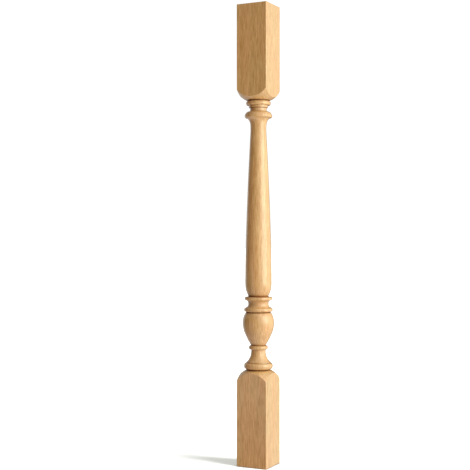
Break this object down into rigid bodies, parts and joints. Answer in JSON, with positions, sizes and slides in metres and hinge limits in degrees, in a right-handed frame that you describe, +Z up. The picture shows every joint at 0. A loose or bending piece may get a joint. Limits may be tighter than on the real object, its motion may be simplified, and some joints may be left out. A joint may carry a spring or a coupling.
{
  "type": "wooden baluster",
  "caption": "Turned wooden baluster: square end blocks with domed shoulders, a tapering shaft over a small vase, rings, coves and beads between them; infill post of a stair or landing rail.",
  "frame": {"origin": "centre of the underside, on the lathe axis", "axes": "+Z up along the lathe axis, from the block below the vase to the block above the tapering shaft; X and Y square to the faces of the blocks"},
  "size_m": [0.0636, 0.0636, 0.9],
  "materials": {
    "wood": "light hardwood, sanded smooth and finished with a clear satin varnish"
  },
  "bodies": {
    "root": {"baluster": "wood"}
  },
  "joints": []
}
